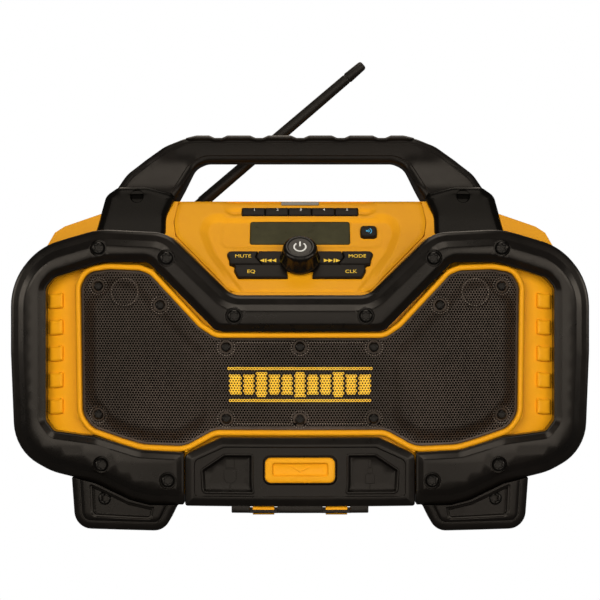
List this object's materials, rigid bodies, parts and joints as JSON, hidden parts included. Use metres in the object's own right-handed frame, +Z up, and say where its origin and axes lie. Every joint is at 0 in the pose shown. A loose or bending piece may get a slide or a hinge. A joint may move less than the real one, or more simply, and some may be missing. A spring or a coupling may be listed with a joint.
{
  "type": "jobsite radio",
  "caption": "Rugged portable radio: two-part housing between front and rear bumper cages, carry handle, sloped controls, speaker grille, tilting aerial and hinged doors.",
  "frame": {"origin": "on the floor under the middle of the radio, at the feet's underside", "axes": "+X to the user's right, -Y out of the front, +Z up"},
  "size_m": [0.44, 0.2344, 0.3652],
  "materials": {
    "antenna_rubber": "matte",
    "badge_metal": "brushed",
    "black_bumper": "fine grained, satin",
    "circuit_board": "solder mask",
    "cone_paper": "coated pulp",
    "contact_brass": "plain",
    "display_glass": "smoked",
    "display_module": "matt",
    "emblem_yellow": "painted",
    "grille_metal": "perforated, powder coated",
    "grip_rubber": "matte",
    "handle_plastic": "satin",
    "inner_plastic": "matt",
    "key_rubber": "satin",
    "knob_plastic": "satin",
    "pin_steel": "plain",
    "screw_steel": "black oxide",
    "speaker_steel": "painted",
    "surround_rubber": "matte",
    "yellow_shell": "satin moulded"
  },
  "bodies": {
    "root": {"front_housing": "yellow_shell", "rear_housing": "yellow_shell", "front_cage": "black_bumper", "rear_cage": "black_bumper", "control_fascia": "yellow_shell", "speaker_grille": "grille_metal", "grille_emblem": "emblem_yellow", "handle": "handle_plastic", "handle_grip": "grip_rubber", "handle_mount_left": "handle_plastic", "handle_mount_right": "handle_plastic", "foot_front_left": "grip_rubber", "foot_front_right": "grip_rubber", "foot_rear_left": "grip_rubber", "foot_rear_right": "grip_rubber", "front_screws": "screw_steel", "rear_screws": "screw_steel", "handle_screws": "screw_steel", "grille_screws": "screw_steel", "lcd_window": "display_glass", "lcd_module": "display_module", "control_board": "circuit_board", "volume_encoder": "inner_plastic", "woofer_frame_left": "speaker_steel", "woofer_frame_right": "speaker_steel", "woofer_surround_left": "surround_rubber", "woofer_surround_right": "surround_rubber", "tweeter_left": "speaker_steel", "tweeter_right": "speaker_steel", "storage_tray": "inner_plastic", "usb_port": "inner_plastic", "aux_jack": "inner_plastic", "battery_terminal": "contact_brass", "power_supply": "inner_plastic", "main_board": "circuit_board", "mains_inlet": "inner_plastic", "door_pins": "pin_steel", "badge_plate": "badge_metal"},
    "volume_push": {"volume_shaft": "pin_steel"},
    "volume_knob": {"volume_knob": "knob_plastic"},
    "preset_button_1": {"preset_button_1": "key_rubber"},
    "preset_button_2": {"preset_button_2": "key_rubber"},
    "preset_button_3": {"preset_button_3": "key_rubber"},
    "preset_button_4": {"preset_button_4": "key_rubber"},
    "preset_button_5": {"preset_button_5": "key_rubber"},
    "pairing_button": {"pairing_button": "key_rubber"},
    "mute_key": {"mute_key": "key_rubber"},
    "previous_key": {"previous_key": "key_rubber"},
    "equalizer_key": {"equalizer_key": "key_rubber"},
    "mode_key": {"mode_key": "key_rubber"},
    "next_key": {"next_key": "key_rubber"},
    "clock_key": {"clock_key": "key_rubber"},
    "antenna_base": {"antenna_base": "antenna_rubber"},
    "antenna_mast": {"antenna_mast": "antenna_rubber"},
    "front_door": {"front_door": "black_bumper"},
    "front_latch": {"front_latch": "yellow_shell"},
    "battery_door": {"battery_door": "yellow_shell"},
    "battery_latch": {"battery_latch": "black_bumper"},
    "woofer_cone_left": {"woofer_cone_left": "cone_paper"},
    "woofer_cone_right": {"woofer_cone_right": "cone_paper"}
  },
  "joints": [
    {"name": "volume_press", "type": "slide", "parent": "root", "child": "volume_push", "axis": [0, 0.7314, -0.682], "range_m": [0, 0.0008], "stiffness_N_per_m": 2500, "springref_m": -0.0002},
    {"name": "volume_spin", "type": "hinge", "parent": "volume_push", "child": "volume_knob", "pos_m": [0, -0.07267, 0.20356], "axis": [0, -0.7314, 0.682], "continuous": true},
    {"name": "preset_button_1_press", "type": "slide", "parent": "root", "child": "preset_button_1", "axis": [0, 0.7314, -0.682], "range_m": [0, 0.0008], "stiffness_N_per_m": 1200, "springref_m": -0.0002},
    {"name": "preset_button_2_press", "type": "slide", "parent": "root", "child": "preset_button_2", "axis": [0, 0.7314, -0.682], "range_m": [0, 0.0008], "stiffness_N_per_m": 1200, "springref_m": -0.0002},
    {"name": "preset_button_3_press", "type": "slide", "parent": "root", "child": "preset_button_3", "axis": [0, 0.7314, -0.682], "range_m": [0, 0.0008], "stiffness_N_per_m": 1200, "springref_m": -0.0002},
    {"name": "preset_button_4_press", "type": "slide", "parent": "root", "child": "preset_button_4", "axis": [0, 0.7314, -0.682], "range_m": [0, 0.0008], "stiffness_N_per_m": 1200, "springref_m": -0.0002},
    {"name": "preset_button_5_press", "type": "slide", "parent": "root", "child": "preset_button_5", "axis": [0, 0.7314, -0.682], "range_m": [0, 0.0008], "stiffness_N_per_m": 1200, "springref_m": -0.0002},
    {"name": "pairing_button_press", "type": "slide", "parent": "root", "child": "pairing_button", "axis": [0, 0.7314, -0.682], "range_m": [0, 0.0008], "stiffness_N_per_m": 1200, "springref_m": -0.0002},
    {"name": "mute_key_press", "type": "slide", "parent": "root", "child": "mute_key", "axis": [0, 0.7314, -0.682], "range_m": [0, 0.0008], "stiffness_N_per_m": 1200, "springref_m": -0.0002},
    {"name": "previous_key_press", "type": "slide", "parent": "root", "child": "previous_key", "axis": [0, 0.7314, -0.682], "range_m": [0, 0.0008], "stiffness_N_per_m": 1200, "springref_m": -0.0002},
    {"name": "equalizer_key_press", "type": "slide", "parent": "root", "child": "equalizer_key", "axis": [0, 0.7314, -0.682], "range_m": [0, 0.0008], "stiffness_N_per_m": 1200, "springref_m": -0.0002},
    {"name": "mode_key_press", "type": "slide", "parent": "root", "child": "mode_key", "axis": [0, 0.7314, -0.682], "range_m": [0, 0.0008], "stiffness_N_per_m": 1200, "springref_m": -0.0002},
    {"name": "next_key_press", "type": "slide", "parent": "root", "child": "next_key", "axis": [0, 0.7314, -0.682], "range_m": [0, 0.0008], "stiffness_N_per_m": 1200, "springref_m": -0.0002},
    {"name": "clock_key_press", "type": "slide", "parent": "root", "child": "clock_key", "axis": [0, 0.7314, -0.682], "range_m": [0, 0.0008], "stiffness_N_per_m": 1200, "springref_m": -0.0002},
    {"name": "antenna_swivel", "type": "hinge", "parent": "root", "child": "antenna_base", "pos_m": [-0.086, 0.048, 0.232], "axis": [0, 0, 1], "range_deg": [0, 135]},
    {"name": "antenna_tilt", "type": "hinge", "parent": "antenna_base", "child": "antenna_mast", "pos_m": [-0.086, 0.048, 0.2454], "axis": [0, -1, 0], "range_deg": [-39, 49.5]},
    {"name": "front_door_hinge", "type": "hinge", "parent": "root", "child": "front_door", "pos_m": [0, -0.106, 0.017], "axis": [1, 0, 0], "range_deg": [0, 90]},
    {"name": "front_latch_pull", "type": "hinge", "parent": "front_door", "child": "front_latch", "pos_m": [0, -0.114, 0.0385], "axis": [1, 0, 0], "range_deg": [0, 25], "stiffness_Nm_per_rad": 0.05, "springref_deg": -5.73},
    {"name": "battery_door_hinge", "type": "hinge", "parent": "root", "child": "battery_door", "pos_m": [0, 0.1035, 0.062], "axis": [-1, 0, 0], "range_deg": [0, 95]},
    {"name": "battery_latch_slide", "type": "slide", "parent": "battery_door", "child": "battery_latch", "axis": [0, 0, -1], "range_m": [0, 0.004], "stiffness_N_per_m": 400, "springref_m": -0.001},
    {"name": "woofer_left_stroke", "type": "slide", "parent": "root", "child": "woofer_cone_left", "axis": [-0.2066, -0.9784, 0], "range_m": [-0.002, 0.002], "stiffness_N_per_m": 1500, "deforming": ["woofer_surround_left"]},
    {"name": "woofer_right_stroke", "type": "slide", "parent": "root", "child": "woofer_cone_right", "axis": [0.2066, -0.9784, 0], "range_m": [-0.002, 0.002], "stiffness_N_per_m": 1500, "deforming": ["woofer_surround_right"]}
  ]
}
